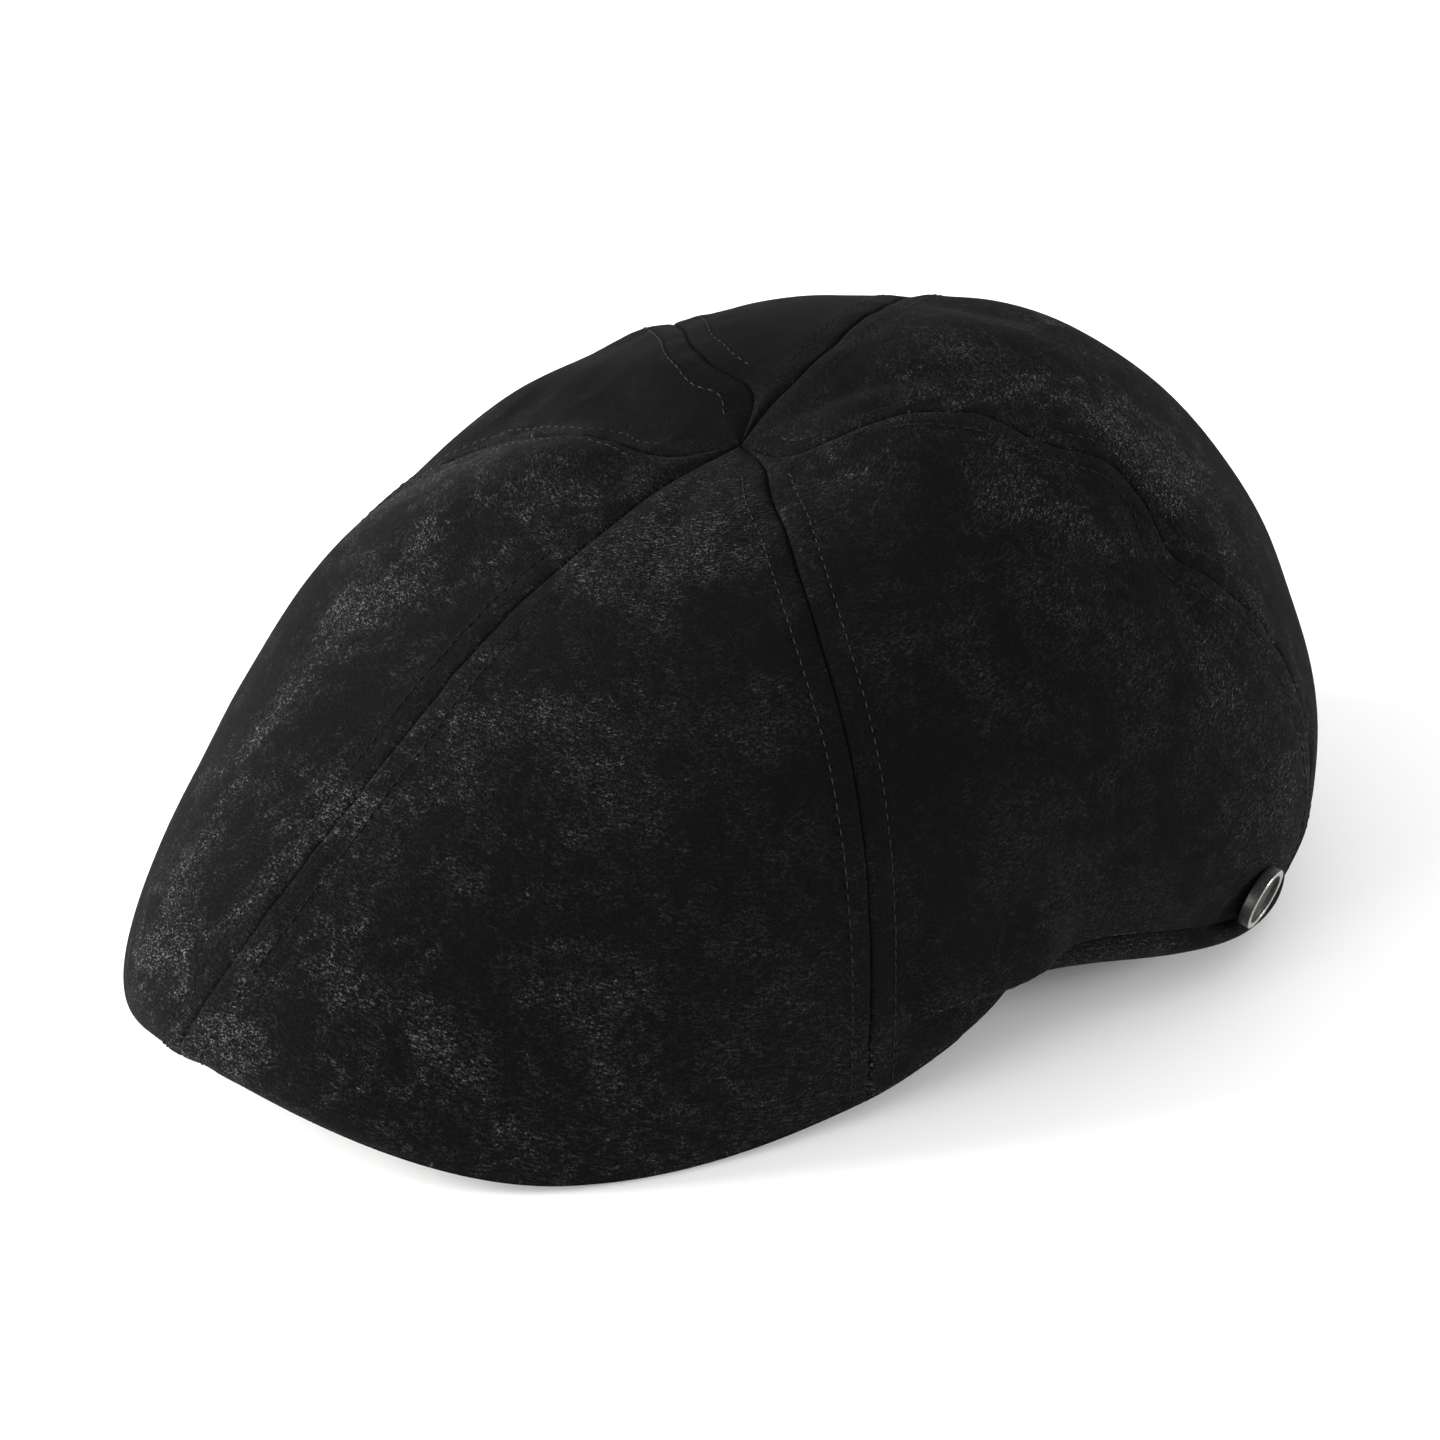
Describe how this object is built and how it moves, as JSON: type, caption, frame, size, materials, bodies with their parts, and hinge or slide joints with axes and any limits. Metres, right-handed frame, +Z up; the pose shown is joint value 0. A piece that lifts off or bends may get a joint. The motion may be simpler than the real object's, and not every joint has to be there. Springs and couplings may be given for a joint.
{
  "type": "duckbill cap",
  "caption": "Soft gored duckbill cap in black brushed suede cloth, with a stiff curved bill, a headband and a small round metal badge.",
  "frame": {"origin": "on the floor under the middle of the cap's outer box", "axes": "-Y out over the bill, +X towards the wearer's left, +Z up through the crown"},
  "size_m": [0.21, 0.2802, 0.121],
  "materials": {
    "suede": "black brushed suede nap, matte",
    "band_cloth": "black twill, matte",
    "badge_metal": "dark gunmetal, satin"
  },
  "bodies": {
    "root": {"gore_front_left": "suede", "gore_side_left": "suede", "gore_back_left": "suede", "gore_back_right": "suede", "gore_side_right": "suede", "gore_front_right": "suede", "bill": "suede", "headband": "band_cloth", "badge": "badge_metal"}
  },
  "joints": []
}
